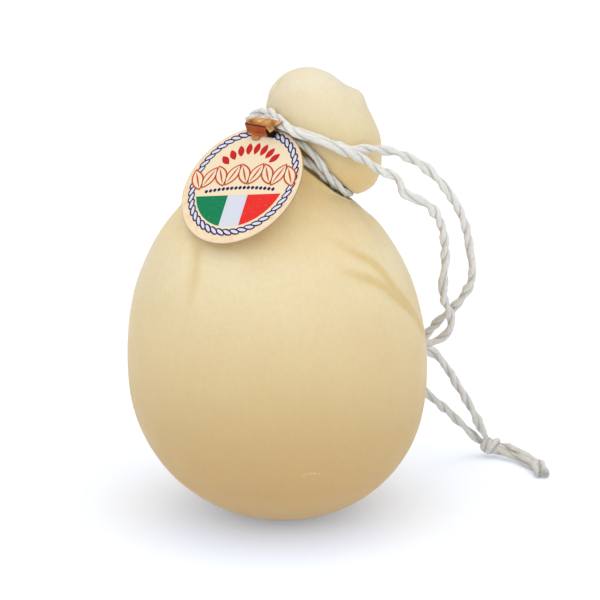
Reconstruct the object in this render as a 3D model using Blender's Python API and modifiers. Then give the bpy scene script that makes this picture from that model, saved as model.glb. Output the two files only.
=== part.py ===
"""Caciocavallo: a pear-shaped cheese with a tied neck and a round head, standing on a small
flat spot, with a round card held by a folded clip and a twine that ends in a knot.

Tables and dimensions are in millimetres, and the scene is in metres. Z is up, the front
faces -Y, and the origin is the middle of the flat spot on the floor.
"""

import math

import bpy
import numpy as np
from mathutils import Matrix, Vector
from mathutils.bvhtree import BVHTree

COLLECTION = "caciocavallo"
MM = 0.001
GAP = 0.35

# Cheese: the bowl below the widest height is a superellipse, cut by the floor.
WIDEST_HEIGHT = 70.0
WIDEST_HALF = 70.5
BOWL_SINK = 1.0
BOWL_POWER = 2.1
BOWL_LEAN = -2.5
BOWL_HEIGHTS = (0, 1, 2.5, 5, 9, 14, 20, 28, 37, 47, 58)
# Outline above it, as the two ends (x, z) of each ring: shoulder, neck, then head.
SHOULDER_RINGS = (
    (-73.0, 70.0, 68.0, 70.0),
    (-72.8, 84.0, 67.2, 84.0),
    (-71.2, 98.0, 64.6, 98.0),
    (-68.2, 111.5, 60.7, 111.5),
    (-63.2, 125.0, 55.4, 123.3),
    (-56.0, 138.0, 49.3, 133.0),
    (-47.0, 149.0, 43.8, 140.0),
    (-36.5, 160.0, 38.2, 144.8),
    (-26.0, 170.5, 34.2, 148.5),
    (-16.5, 179.5, 31.9, 150.4),
)
NECK_RINGS = (
    (-10.9, 184.8, 30.6, 150.9),
    (-7.8, 182.4, 25.1, 153.6),
    (-4.3, 186.3, 28.5, 157.5),
    (-5.6, 189.6, 32.4, 157.4),
)
HEAD_RINGS = (
    (-7.3, 191.0, 33.5, 153.9),
    (-7.6, 194.0, 37.6, 154.4),
    (-7.0, 197.0, 42.2, 157.6),
    (-6.0, 200.5, 45.0, 164.0),
    (-3.9, 204.0, 45.7, 172.0),
    (-0.5, 207.6, 44.9, 180.0),
    (3.8, 210.0, 41.2, 189.0),
    (8.6, 211.4, 35.9, 197.8),
    (13.4, 211.5, 29.3, 203.3),
)
HEAD_TIP = (21.8, 208.8)
BACK_TILT = math.radians(3.5)
NECK_DEPTH = 2.0
TILT_STARTS, TILT_ENDS = 110.0, 165.0
RING_STEPS = 2
RING_SIDES = 44

# Card: it lies on the left of the shoulder, its top against the neck.
CARD_CENTRE = (-18.1, -34.0, 164.4)
CARD_NORMAL = (-0.453, -0.600, 0.659)
CARD_UP = (0.254, 0.621, 0.741)
CARD_RADIUS = 30.7
CARD_THICK = 0.9
CARD_SIDES = 48

# Clip: a folded sheet over the card's top edge, open to the right for the inner strand.
# Each row is up the card, out from its face, and the sheet's two ends across.
CLIP_TURN = math.radians(-13.0)
CLIP_SHIFT = 0.4
CLIP_SHEET = 0.5
CLIP_FOOT_ROW = 3
CLIP_ROWS = (
    (23.4, 0.65, -1.2, 1.4),
    (24.1, 0.65, -2.2, 2.4),
    (25.9, 0.65, -2.4, 2.6),
    (26.0, 0.70, -5.3, 6.7),
    (26.6, 1.40, -5.3, 6.7),
    (27.8, 4.60, -5.3, 6.7),
    (28.2, 5.20, -5.3, 8.8),
    (30.2, 5.30, -4.6, 11.6),
    (32.2, 4.90, -1.0, 12.6),
    (33.4, 3.10, -1.0, 6.0),
    (33.5, 1.00, -1.0, 4.0),
    (32.6, -1.00, -3.0, 3.0),
    (31.6, -1.60, -3.5, 3.0),
    (28.0, -1.60, -3.5, 3.0),
)

# Twine: two turns in the neck's groove and two strands that meet in a knot.
TWINE = 4.2
TIED = 3.2
STRAND_SPACING = 7.5
TAIL_SPACING = 6.0
TURN_POINTS = 44
# Angle round the neck from the right, height above the groove's middle, least reach.
LOWER_TURN = (
    (0, 0.0, 20.0), (90, 0.0, 20.0), (180, 0.0, 20.0), (232, 0.0, 21.0), (245, 0.3, 23.5),
    (258, 1.0, 25.6), (275, 1.2, 26.0), (295, 0.9, 25.4), (312, 0.3, 23.2), (330, 0.0, 20.0),
)
UPPER_TURN = (
    (0, 1.3, 20.0), (20, 1.2, 20.0), (50, 1.0, 20.0), (90, 0.8, 20.0), (135, 0.8, 20.0),
    (180, 0.8, 20.0), (222, 0.9, 20.0), (236, 1.8, 20.0), (248, 4.4, 20.0), (258, 6.0, 20.0),
    (268, 5.6, 20.0), (280, 4.0, 20.0), (297, 2.4, 20.0), (317, 1.6, 20.0), (340, 1.35, 20.0),
)
OUTER_STRAND = (
    (-14, 10, 184), (-15.5, 3, 188), (-13, -3, 191.5), (-9.5, -7.5, 193.3),
    (-6.5, -12.5, 194), (-3.9, -17, 193.4), (-1.7, -20.2, 191.9), (1.6, -23.7, 189.5),
    (5, -26.2, 187.6), (13.4, -30, 185), (23, -30.2, 181.4), (31, -27.6, 179),
    (37, -24, 178.6), (45, -21, 177.7), (54, -17.5, 174.8), (66, -11, 167), (77, -3, 154),
    (85, 6, 138), (89, 15, 120), (90, 20, 110), (87, 26, 99), (81, 35, 88), (74, 43, 78),
    (70, 47, 71), (66, 49, 64), (65, 52, 56), (67, 59, 46), (74, 67, 36), (83, 72, 27),
    (95, 78, 14), (101, 80, 8),
)
INNER_STRAND = (
    (-13, -14.5, 188.9), (-7.8, -19, 188.6), (-4.1, -22.5, 188.1), (-1.6, -26, 187.6),
    (2, -30.4, 188), (8, -33.6, 186.7), (18.5, -35.4, 183.5), (28, -34, 179.3),
    (34, -30.8, 176.2), (39, -28, 172.8), (45, -26.5, 168.8), (50, -25, 166.5),
    (52.5, -23.6, 164), (54, -22, 160), (58, -19, 156), (66, -13, 151), (73, -5, 140),
    (76, 5, 123), (76, 16, 105), (78, 24, 95), (81, 28, 86), (80, 31, 77), (74, 33, 71),
    (65, 35, 69), (58, 41, 66), (57, 48, 64), (62, 56, 62), (72, 63, 60), (88, 70, 41),
    (95, 74, 29), (103.3, 77.8, 11.6),
)
KNOT_ENDS = ((102.6, 78.6, 6.6), (111.0, 76.0, 4.9))
KNOT_RADII = (2.4, 3.5, 4.1, 3.8, 4.2, 3.9, 4.2, 3.8, 3.0)
TAIL_RIGHT = ((112.6, 77.6, 4.4), (119, 73, 2.6), (124, 66, 2.5), (129, 55, 2.5), (132, 43, 2.5))
TAIL_LEFT = ((111.3, 73.1, 3.4), (114.6, 69.4, 2.6), (119, 64, 2.5), (124, 53, 2.5), (127, 41, 2.5))

# Colour, roughness and metallic value of each material.
FINISHES = {
    "rind": ((0.72, 0.58, 0.33), 0.45, 0.0),
    "twine": ((0.78, 0.76, 0.70), 0.9, 0.0),
    "card": ((0.88, 0.80, 0.66), 0.6, 0.0),
    "clip": ((0.62, 0.30, 0.10), 0.3, 1.0),
}


def smooth(value, low, high):
    """0 up to low, 1 from high, and a smooth rise between."""
    t = min(max((value - low) / (high - low), 0.0), 1.0)
    return t * t * (3.0 - 2.0 * t)


def spline(points, steps):
    """A natural cubic spline through the points, with so many steps to a span."""
    p = np.array(points, float)
    h = np.linalg.norm(np.diff(p, axis=0), axis=1)
    count = len(p)
    left, right = np.eye(count), np.zeros_like(p)
    for i in range(1, count - 1):
        left[i, i - 1 : i + 2] = h[i - 1], 2.0 * (h[i - 1] + h[i]), h[i]
        right[i] = 6.0 * ((p[i + 1] - p[i]) / h[i] - (p[i] - p[i - 1]) / h[i - 1])
    bend = np.linalg.solve(left, right)
    made = []
    for i in range(count - 1):
        for k in range(steps):
            after = h[i] * k / steps
            before = h[i] - after
            curve = (bend[i] * before**3 + bend[i + 1] * after**3) / (6.0 * h[i])
            start = (p[i] / h[i] - bend[i] * h[i] / 6.0) * before
            end = (p[i + 1] / h[i] - bend[i + 1] * h[i] / 6.0) * after
            made.append(curve + start + end)
    return np.array([*made, p[-1]])


def bowl_rings():
    """Rings of the bowl, from the flat spot up to just under the widest height."""
    rings = []
    for height in BOWL_HEIGHTS:
        below = (WIDEST_HEIGHT - height) / (WIDEST_HEIGHT + BOWL_SINK)
        half = WIDEST_HALF * (1.0 - below**BOWL_POWER) ** (1.0 / BOWL_POWER)
        lean = BOWL_LEAN * smooth(height, 10.0, WIDEST_HEIGHT)
        rings.append((lean - half, height, lean + half, height))
    return rings


def cheese_frames(steps):
    """(centre, radius, right, back, up) of each ring of the cheese, and the tip."""
    tip = (*HEAD_TIP, *HEAD_TIP)
    rows = spline([*bowl_rings(), *SHOULDER_RINGS, *NECK_RINGS, *HEAD_RINGS, tip], steps)
    frames = []
    depth, before = 0.0, None
    for lx, lz, rx, rz in rows:
        flat = np.array([(lx + rx) / 2, 0.0, (lz + rz) / 2])
        tilt = BACK_TILT * smooth(flat[2], TILT_STARTS, TILT_ENDS)
        if before is not None:
            depth += math.sin(tilt) * np.linalg.norm(flat - before)
        before = flat
        radius = math.hypot(rx - lx, rz - lz) / 2
        right = np.array([rx - lx, 0.0, rz - lz]) / max(2 * radius, 1e-6)
        plain_up = np.array([-right[2], 0.0, right[0]])
        back = np.array([0.0, math.cos(tilt), 0.0]) - plain_up * math.sin(tilt)
        up = np.cross(right, back)
        frames.append((flat + [0.0, depth, 0.0], radius, right, back, up))
    return frames


def finish(name):
    """The named material, made when it is first asked for."""
    if name in bpy.data.materials:
        return bpy.data.materials[name]
    colour, roughness, metallic = FINISHES[name]
    made = bpy.data.materials.new(name)
    made.use_nodes = True
    surface = made.node_tree.nodes["Principled BSDF"]
    surface.inputs["Base Color"].default_value = (*colour, 1.0)
    surface.inputs["Roughness"].default_value = roughness
    surface.inputs["Metallic"].default_value = metallic
    return made


def add_object(name, data, material):
    data.materials.append(finish(material))
    made = bpy.data.objects.new(name, data)
    bpy.data.collections[COLLECTION].objects.link(made)
    return made


def add_mesh(name, verts, faces, material):
    mesh = bpy.data.meshes.new(name)
    mesh.from_pydata([Vector(v) * MM for v in verts], [], faces)
    mesh.validate()
    return add_object(name, mesh, material)


def add_tube(name, route, radii, closed=False):
    """A round tube along a route, with filled caps unless it is closed."""
    curve = bpy.data.curves.new(name, "CURVE")
    curve.dimensions = "3D"
    curve.bevel_depth = radii[-1] * MM
    curve.bevel_resolution = 2
    curve.use_fill_caps = not closed
    line = curve.splines.new("POLY")
    line.points.add(len(route) - 1)
    line.use_cyclic_u = closed
    for point, place, radius in zip(line.points, route, radii):
        point.co = (*(np.array(place) * MM), 1.0)
        point.radius = radius / radii[-1]
    return add_object(name, curve, "twine")


def cheese_skin():
    """Vertices and faces of the cheese: a skin over its rings, from the flat spot to the tip."""
    frames = cheese_frames(RING_STEPS)
    angles = [2.0 * math.pi * j / RING_SIDES for j in range(RING_SIDES)]
    verts = []
    for centre, radius, right, back, _ in frames[:-1]:
        verts += [centre + radius * (math.cos(a) * right + math.sin(a) * back) for a in angles]
    faces = [tuple(reversed(range(RING_SIDES)))]
    for low in range(0, len(verts) - RING_SIDES, RING_SIDES):
        for j in range(RING_SIDES):
            k = (j + 1) % RING_SIDES
            faces.append((low + j, low + k, low + RING_SIDES + k, low + RING_SIDES + j))
    last = len(verts) - RING_SIDES
    faces += [(last + j, last + (j + 1) % RING_SIDES, len(verts)) for j in range(RING_SIDES)]
    return [*verts, frames[-1][0]], faces


def unit(vector):
    return np.array(vector, float) / np.linalg.norm(vector)


def neck_place(angle, height, out):
    """A point round the neck's groove, from its middle, in the groove's own directions."""
    low, high = NECK_RINGS[1:3]
    lx, lz, rx, rz = [(a + b) / 2 for a, b in zip(low, high)]
    right = unit((rx - lx, 0.0, rz - lz))
    plain_up = np.array([-right[2], 0.0, right[0]])
    back = np.array([0.0, math.cos(BACK_TILT), 0.0]) - plain_up * math.sin(BACK_TILT)
    up = np.cross(right, back)
    middle = np.array([(lx + rx) / 2, NECK_DEPTH, (lz + rz) / 2])
    turn = math.cos(angle) * right + math.sin(angle) * back
    return middle + turn * out + up * height


def outside_by(tree, point):
    """How far a point is from the cheese, negative inside it."""
    hit, normal, _, distance = tree.find_nearest(Vector(point))
    return distance if (Vector(point) - hit).dot(normal) > 0 else -distance


def pulled_tight(angles, reach):
    """How far out a taut loop lies that may not come further in than the given reach."""
    count = len(reach)
    for _ in range(60):
        for i in range(count):
            before, after = reach[i - 1], reach[(i + 1) % count]
            half = angles[1] - angles[0]
            straight = before * after * math.sin(2 * half) / ((before + after) * math.sin(half))
            reach[i] = max(reach[i], straight)
    return reach


def not_clear(tree, under, point):
    if outside_by(tree, point) < TIED / 2 + GAP + 0.1:
        return True
    if under is None:
        return False
    return min(np.linalg.norm(np.array(under) - point, axis=1)) < TIED + GAP


def neck_turn(tree, table, under=None):
    """A closed turn of twine, as deep as its table and the turn under it let it lie."""
    wrapped = [*table[-3:], *table, *table[:3]]
    turns = [-360] * 3 + [0] * len(table) + [360] * 3
    rows = spline([(a + t, h * 10, r * 10) for (a, h, r), t in zip(wrapped, turns)], 8)
    degrees = [360.0 * i / TURN_POINTS for i in range(TURN_POINTS)]
    angles = np.radians(degrees)
    heights = np.interp(degrees, rows[:, 0], rows[:, 1]) / 10
    least = np.interp(degrees, rows[:, 0], rows[:, 2]) / 10
    reach = []
    for angle, height, out in zip(angles, heights, least):
        while not_clear(tree, under, neck_place(angle, height, out)):
            out += 0.1
        reach.append(out)
    reach = pulled_tight(angles, reach)
    return [neck_place(*place) for place in zip(angles, heights, reach)]


def off_the_cheese(tree, points, radius):
    """Moves points that are too near the cheese out to where a strand rests on it."""
    moved = []
    for point in points:
        hit, normal, _, distance = tree.find_nearest(Vector(point))
        away = Vector(point) - hit
        if away.dot(normal) <= 0:
            point = hit + normal * (radius + GAP)
        elif distance < radius + GAP:
            point = hit + away.normalized() * (radius + GAP)
        moved.append(np.array(point))
    return moved


def evenly(points, spacing):
    """The same line with points at an even spacing."""
    points = np.array(points)
    along = np.concatenate([[0.0], np.cumsum(np.linalg.norm(np.diff(points, axis=0), axis=1))])
    places = np.linspace(0.0, along[-1], max(int(round(along[-1] / spacing)), 2) + 1)
    return np.stack([np.interp(places, along, points[:, k]) for k in range(3)], axis=1)


def card_frame():
    """(across, up, out) of the card's face."""
    out = unit(CARD_NORMAL)
    up = np.array(CARD_UP)
    up = unit(up - out * up.dot(out))
    return np.cross(up, out), up, out


def add_card():
    across, up, out = card_frame()
    centre = np.array(CARD_CENTRE) - out * CARD_THICK / 2
    turned = Matrix((across, up, out)).transposed()
    bpy.ops.mesh.primitive_cylinder_add(
        vertices=CARD_SIDES,
        radius=CARD_RADIUS * MM,
        depth=CARD_THICK * MM,
        location=Vector(centre) * MM,
        rotation=turned.to_euler(),
    )
    made = bpy.context.object
    made.name = made.data.name = "label_card"
    made.data.materials.append(finish("card"))
    for home in made.users_collection:
        home.objects.unlink(made)
    bpy.data.collections[COLLECTION].objects.link(made)


def add_clip():
    """The folded sheet: a strip over its rows, given its thickness to both sides."""
    across, up, out = card_frame()
    turned = across * math.cos(CLIP_TURN) + up * math.sin(CLIP_TURN)
    upright = up * math.cos(CLIP_TURN) - across * math.sin(CLIP_TURN)
    foot = CLIP_ROWS[CLIP_FOOT_ROW][0]
    base = np.array(CARD_CENTRE) + up * foot + across * CLIP_SHIFT
    verts = []
    for high, proud, start, end in CLIP_ROWS:
        line = base + upright * (high - foot) + out * proud
        verts += [line + turned * start, line + turned * end]
    faces = [(i, i + 1, i + 3, i + 2) for i in range(0, len(verts) - 2, 2)]
    made = add_mesh("label_clip", verts, faces, "clip")
    sheet = made.modifiers.new("sheet", "SOLIDIFY")
    sheet.thickness = CLIP_SHEET * MM
    sheet.offset = 0.0


def add_knot():
    start, end = (np.array(p) for p in KNOT_ENDS)
    shares = np.linspace(0.0, 1.0, len(KNOT_RADII))
    add_tube("twine_knot", [start + (end - start) * s for s in shares], KNOT_RADII)


def clear_scene():
    for thing in list(bpy.data.objects):
        bpy.data.objects.remove(thing)
    home = bpy.data.collections.new(COLLECTION)
    bpy.context.scene.collection.children.link(home)


def add_strand(name, tree, table, thin_start):
    """A free strand, thinner at its start where it comes out of the clip or the groove."""
    route = evenly(spline(table, 8), STRAND_SPACING)
    route = off_the_cheese(tree, route, TWINE / 2)
    along = np.arange(len(route)) * STRAND_SPACING
    radii = TIED / 2 + (TWINE - TIED) / 2 * np.clip(along / thin_start, 0.0, 1.0)
    add_tube(name, route, radii)


def add_tail(name, table):
    route = evenly(spline(table, 6), TAIL_SPACING)
    add_tube(name, route, [TWINE / 2] * len(route))


def main():
    clear_scene()
    skin = cheese_skin()
    add_mesh("cheese", *skin, "rind")
    tree = BVHTree.FromPolygons([Vector(v) for v in skin[0]], skin[1])
    lower = neck_turn(tree, LOWER_TURN)
    upper = neck_turn(tree, UPPER_TURN, lower)
    add_tube("neck_turn_lower", lower, [TIED / 2] * len(lower), closed=True)
    add_tube("neck_turn_upper", upper, [TIED / 2] * len(upper), closed=True)
    add_strand("twine_outer", tree, OUTER_STRAND, 10.0)
    add_strand("twine_inner", tree, INNER_STRAND, 14.0)
    add_knot()
    add_tail("tail_right", TAIL_RIGHT)
    add_tail("tail_left", TAIL_LEFT)
    add_card()
    add_clip()


main()
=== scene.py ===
"""Looks of the caciocavallo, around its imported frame: the waxy cheese, the two-ply twine with
its knot and cut ends, the printed card and the folded clip that holds it.

Tables of places are in millimetres, as the outline is, and MM turns them into the scene's
metres. Z is up, the front faces -Y, and the origin is the middle of the flat spot.
"""

import math
import random

import bpy
import numpy as np
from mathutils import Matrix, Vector, noise
from mathutils.bvhtree import BVHTree


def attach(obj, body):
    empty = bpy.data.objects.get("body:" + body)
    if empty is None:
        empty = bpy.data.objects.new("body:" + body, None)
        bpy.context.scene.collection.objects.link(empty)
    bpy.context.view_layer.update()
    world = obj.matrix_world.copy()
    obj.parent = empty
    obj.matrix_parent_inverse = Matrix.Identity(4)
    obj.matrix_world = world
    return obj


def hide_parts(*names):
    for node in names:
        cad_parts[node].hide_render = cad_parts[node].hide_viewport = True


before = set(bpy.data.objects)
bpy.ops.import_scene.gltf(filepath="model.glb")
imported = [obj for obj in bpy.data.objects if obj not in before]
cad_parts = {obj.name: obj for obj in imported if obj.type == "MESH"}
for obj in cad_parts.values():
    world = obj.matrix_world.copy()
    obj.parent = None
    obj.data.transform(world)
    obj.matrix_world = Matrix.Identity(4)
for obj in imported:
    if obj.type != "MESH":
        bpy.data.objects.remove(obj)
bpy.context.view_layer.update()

MM = 0.001

# Camera: a long lens that looks down a little on the front.
CAMERA_LENS, CAMERA_SENSOR = 120.0, 36.0
CAMERA_AIM = (0.008, 0.0, 0.103)
CAMERA_AWAY = 0.936
CAMERA_DOWN = math.radians(14.0)

# Cheese: the bowl below the widest height is a superellipse, cut by the floor.
WIDEST_HEIGHT = 70.0
WIDEST_HALF = 70.5
BOWL_SINK = 1.0
BOWL_POWER = 2.1
BOWL_LEAN, BOWL_LEANS_FROM = -2.5, 10.0
BOWL_HEIGHTS = (0, 1, 2.5, 5, 9, 14, 20, 28, 37, 47, 58)
# Outline above it, as the two ends (x, z) of each ring: shoulder, neck, then head.
SHOULDER_RINGS = (
    (-73, 70, 68, 70), (-72.8, 84, 67.2, 84), (-71.2, 98, 64.6, 98), (-68.2, 111.5, 60.7, 111.5),
    (-63.2, 125, 55.4, 123.3), (-56, 138, 49.3, 133), (-47, 149, 43.8, 140),
    (-36.5, 160, 38.2, 144.8), (-26, 170.5, 34.2, 148.5), (-16.5, 179.5, 31.9, 150.4),
)
NECK_RINGS = (
    (-10.9, 184.8, 30.6, 150.9), (-7.8, 182.4, 25.1, 153.6), (-4.3, 186.3, 28.5, 157.5),
    (-5.6, 189.6, 32.4, 157.4),
)
HEAD_RINGS = (
    (-7.3, 191, 33.5, 153.9), (-7.6, 194, 37.6, 154.4), (-7, 197, 42.2, 157.6),
    (-6, 200.5, 45, 164), (-3.9, 204, 45.7, 172), (-0.5, 207.6, 44.9, 180), (3.8, 210, 41.2, 189),
    (8.6, 211.4, 35.9, 197.8), (13.4, 211.5, 29.3, 203.3),
)
HEAD_TIP = (21.8, 208.8)
BACK_TILT = math.radians(3.5)
NECK_DEPTH = 2.0
TILT_STARTS, TILT_ENDS = 110.0, 165.0
RIND_STEPS = 7
RIND_SIDES = 280
# Steps of a span where a line is smoothed, and the points that lap over where it is closed.
TABLE_STEPS, TAIL_STEPS, OPEN_STEPS, CLOSED_STEPS, LAP = 8, 6, 12, 16, 3

# Twine: two turns in the neck's groove and two strands that meet in a knot.
TWINE = 4.2
TIED = 3.2
GAP = 0.35
STRAND_CLEAR = 0.1
STRAND_SPACING = 7.5
TAIL_SPACING = 6.0
# Turns: points round each, how a table's millimetres weigh against its degrees, how finely a
# turn is let out until it is clear, and how often it is pulled tight.
TURN_POINTS, TABLE_SCALE, LET_OUT, PULLS = 44, 10, 0.1, 60
# Angle round the neck from the right, height above the groove's middle, least reach.
LOWER_TURN = (
    (0, 0, 20), (90, 0, 20), (180, 0, 20), (232, 0, 21), (245, 0.3, 23.5), (258, 1, 25.6),
    (275, 1.2, 26), (295, 0.9, 25.4), (312, 0.3, 23.2), (330, 0, 20),
)
UPPER_TURN = (
    (0, 1.3, 20), (20, 1.2, 20), (50, 1, 20), (90, 0.8, 20), (135, 0.8, 20), (180, 0.8, 20),
    (222, 0.9, 20), (236, 1.8, 20), (248, 4.4, 20), (258, 6, 20), (268, 5.6, 20), (280, 4, 20),
    (297, 2.4, 20), (317, 1.6, 20), (340, 1.35, 20),
)
OUTER_STRAND = (
    (-14, 10, 184), (-15.5, 3, 187.6), (-13, -3, 190.8), (-9.5, -7.5, 192.7), (-6.5, -12.5, 193.6),
    (-3.9, -17, 193.2), (-1.7, -20.2, 191.9), (1.6, -23.7, 189.5), (5, -26.2, 187.6),
    (13.4, -30, 185), (23, -30.2, 181.4), (31, -27.6, 179), (37, -24, 178.6), (45, -21, 177.7),
    (54, -17.5, 174.8), (66, -11, 167), (77, -3, 154), (85, 6, 138), (89, 15, 120), (90, 20, 110),
    (87, 26, 99), (81, 35, 89), (74, 43, 79.5), (70, 47, 73), (66, 49, 65), (65, 52, 56),
    (67, 59, 46), (74, 67, 36), (83, 72, 27), (95, 78, 14), (101, 80, 8),
)
INNER_STRAND = (
    (-13.2, -13.5, 190.3), (-9.3, -14, 191.3), (-5.5, -17.2, 191), (-2.3, -21.6, 190),
    (1.8, -27.4, 188.6), (8, -33, 186.6), (18.5, -35.4, 183.5), (28, -34, 179.3),
    (34, -30.8, 176.2), (39, -28, 172.8), (45, -26.5, 168.8), (50, -25, 166.7), (53, -23.6, 163.6),
    (54, -22, 159.6), (58, -19, 156), (66, -13, 151), (73, -5, 140), (76, 5, 123), (76, 16, 105),
    (78, 24, 95), (81, 28, 87), (80, 31, 79.5), (74, 33, 74), (65, 35, 71.5), (58, 41, 68),
    (57, 48, 65), (62, 56, 63.5), (72, 63, 61.5), (88, 70, 41), (95, 74, 29), (103.3, 77.8, 11.6),
)
KNOT_ENDS = ((102.6, 78.6, 6.6), (111.0, 76.0, 4.9))
TAIL_RIGHT = (
    (112.8, 76.4, 6), (118, 71.6, 5.7), (123.2, 65.6, 5), (127.3, 59.1, 4), (130.2, 50.9, 3.2),
    (131.2, 43.2, 2.8),
)
TAIL_LEFT = (
    (110.9, 75.2, 3.8), (115.8, 70.9, 3.5), (120.6, 65.2, 3.2), (124.4, 59, 2.9), (127.2, 51, 2.6),
    (128.3, 43, 2.5),
)
# Free strands: piece, node, route, what lies inside the knot, the length over which each grows
# from its pinched start to its whole width, its own length in metres, and its seed.
STRANDS = (
    ("strand_outer", "twine_outer", OUTER_STRAND, ((103.5, 79.2, 6.9), (106.4, 77.8, 6.4)),
     45.0, 0.330, 1.0),
    ("strand_inner", "twine_inner", INNER_STRAND, ((105.0, 77.6, 8.4), (107.0, 76.9, 6.2)),
     55.0, 0.318, 2.0),
)
# Cut ends: piece, node, route, what lies inside the knot, length in metres, and seed.
TAILS = (
    ("end_right", "tail_right", TAIL_RIGHT, ((107.6, 77.6, 6.4), (110.2, 77.4, 6.3)), 0.046, 3.0),
    ("end_left", "tail_left", TAIL_LEFT, ((106.8, 76.6, 4.9), (109.0, 76.2, 4.4)), 0.041, 4.0),
)

# Lay of the twine: its two plies, as shares of its width, and how they turn.
PLY_RADIUS = 0.36
PLY_OFFSET = 0.18
PLY_PITCH = 25.0
TAIL_PITCH = 60.0
TWINE_STEP = 0.6
TWINE_SIDES = 28
# Unevenness of hand-laid twine, as how much, over how long and which layer of the noise: how
# it turns, its width, its kinks and how far apart its plies lie.
TURN_WAVE = (2.6, 19.0, 0.3)
WIDTH_WAVE = (0.38, 6.0, 8.1)
KINK_WAVE = (0.38, 5.5, 3.3)
APART_WAVE = (0.35, 8.0, 5.2)
# A closed turn is even over this length at its ends, so that they meet.
EVEN_ENDS = 12.0
# Fibres in the twine's skin: how fine round it and along it, and how rough they leave it.
SKIN_ROUND, SKIN_ALONG, SKIN_FINE, SKIN_ROUGH = 2.2, 9.0, 2.2, 0.05
CREST_MARGIN = 0.05
# Least height of the twine's skin, so that what lies down flattens a little.
ABOVE_FLOOR = 0.12
# Ends that narrow, as their share of the width and the length that a whole width would take:
# into the knot, out of it, and at the cut.
INTO_KNOT, OUT_OF_KNOT, CUT_END = (0.72, 40.0), (0.74, 34.0), (0.92, 20.0)
TAIL_WIDTH = 4.4
# Stray fibres: where they stand, and how they lean, bend, sway and taper.
FIBRE_RADIUS = 0.045
FIBRE_LENGTH = (1.6, 4.2)
FIBRE_EVERY = 2.2
FIBRE_ROOT = 0.38
FIBRE_LEAN, FIBRE_BEND, FIBRE_SWAY = (0.15, 0.5), (-0.5, 0.25), (-0.4, 0.4)
FIBRE_SIDES, FIBRE_SPANS, FIBRE_TAPER = 3, 4, 0.6
CLEAR_OF_ENDS = 4
# Fibres of a cut end: how far out and back they are rooted, and how they spread.
FRAY_FIBRES = 34
FRAY_LENGTH, FRAY_RADIUS = (1.0, 1.7), (0.14, 0.28)
FRAY_OUT, FRAY_BACK = (0.2, 1.5), 1.0
FRAY_LEAN, FRAY_BEND, FRAY_DROOP = (0.0, 0.12), (-0.2, 0.2), (0.0, 0.3)
# Directions that no twine and no fibre runs along, from which their frames are turned.
ASIDE, FIBRE_ASIDE = (0.31, 0.52, 0.80), (0.2, 0.5, 0.84)

# Card: its face is a plane that all of the print lies on.
CARD_CENTRE = (-18.1, -34.0, 164.4)
CARD_NORMAL = (-0.453, -0.600, 0.659)
CARD_UP = (0.254, 0.621, 0.741)
CARD_RADIUS = 30.7
CARD_THICK = 0.9

# Clip: each row is up the card, out from its face, and the sheet's two ends across.
CLIP_TURN = math.radians(-13.0)
CLIP_SHIFT = 0.4
CLIP_SHEET = 0.5
CLIP_FOOT_ROW = 3
CLIP_COLUMNS = 9
CLIP_DENTS, CLIP_DENT_SIZE = 0.18, 2.6
CLIP_ROUND, CLIP_ROUND_STEPS, CLIP_SHARP = 0.14, 2, math.radians(30)
# How far each row is into the folds, from bright brass through a painted red-brown dark reflection
# to painted shade near black.
CLIP_ROW_SHADE = (0.2, 0.25, 0.3, 0.5, 0.5, 0.6, 0.95, 0.3, 0.0, 0.0, 0.1, 0.4, 0.5, 0.5, 0.5)
# Places (row, column) on the top with a painted highlight, and its tone.
CLIP_PAINTED_HIGHLIGHT = ((8, 3),)
CLIP_HIGHLIGHT_TONE = -0.3
# Side flap that closes the folded sheet at its right end, painted near black as painted shade:
# across, up the card, out from its face.
CLIP_FLAP = (
    (6.5, 26, 0.7), (9.4, 26.2, 0.7), (11.2, 27.6, 1.4), (9.6, 28.8, 4.4), (6.5, 28, 4.8),
)
# Bright corner of the top, bent down over that flap.
CLIP_LIP = ((7.1, 28.1, 5.5), (8.9, 26.9, 3.2), (11.4, 28.5, 4.3), (11.0, 29.2, 5.6))
CLIP_ROWS = (
    (23.4, 0.65, -1.2, 1.4), (24.1, 0.65, -2.2, 2.4), (25.9, 0.65, -2.4, 2.6),
    (26.0, 0.70, -5.3, 6.7), (26.6, 1.40, -5.3, 6.7), (27.8, 4.60, -5.3, 6.7),
    (28.2, 5.20, -5.3, 9.0), (28.7, 5.25, -5.2, 10.4), (30.2, 5.50, -4.6, 13.0),
    (32.2, 5.30, -1.0, 14.6), (33.4, 3.10, -1.0, 6.0), (33.5, 1.00, -1.0, 4.0),
    (32.6, -1.00, -3.0, 3.0), (31.6, -1.60, -3.5, 3.0), (28.0, -1.60, -3.5, 3.0),
)


# ---- shapes


def smooth(value, low, high):
    """0 up to low, 1 from high, and a smooth rise between, for a number or an array."""
    t = np.clip((value - low) / (high - low), 0.0, 1.0)
    return t * t * (3.0 - 2.0 * t)


def unit(vector):
    return np.array(vector, float) / np.linalg.norm(vector)


def circle(count):
    """So many even angles, all the way round."""
    return [2.0 * math.pi * j / count for j in range(count)]


def at_angle(angle, first, second):
    """The direction that is an angle round from the first towards the second."""
    return math.cos(angle) * first + math.sin(angle) * second


def drift(*place):
    """Smooth noise between about -1 and 1 at a place in it."""
    return noise.noise(Vector(place))


def ring_drift(angle, fine, layer):
    """Smooth noise round a ring, which meets itself."""
    return drift(fine * math.cos(angle), fine * math.sin(angle), layer)


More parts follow.
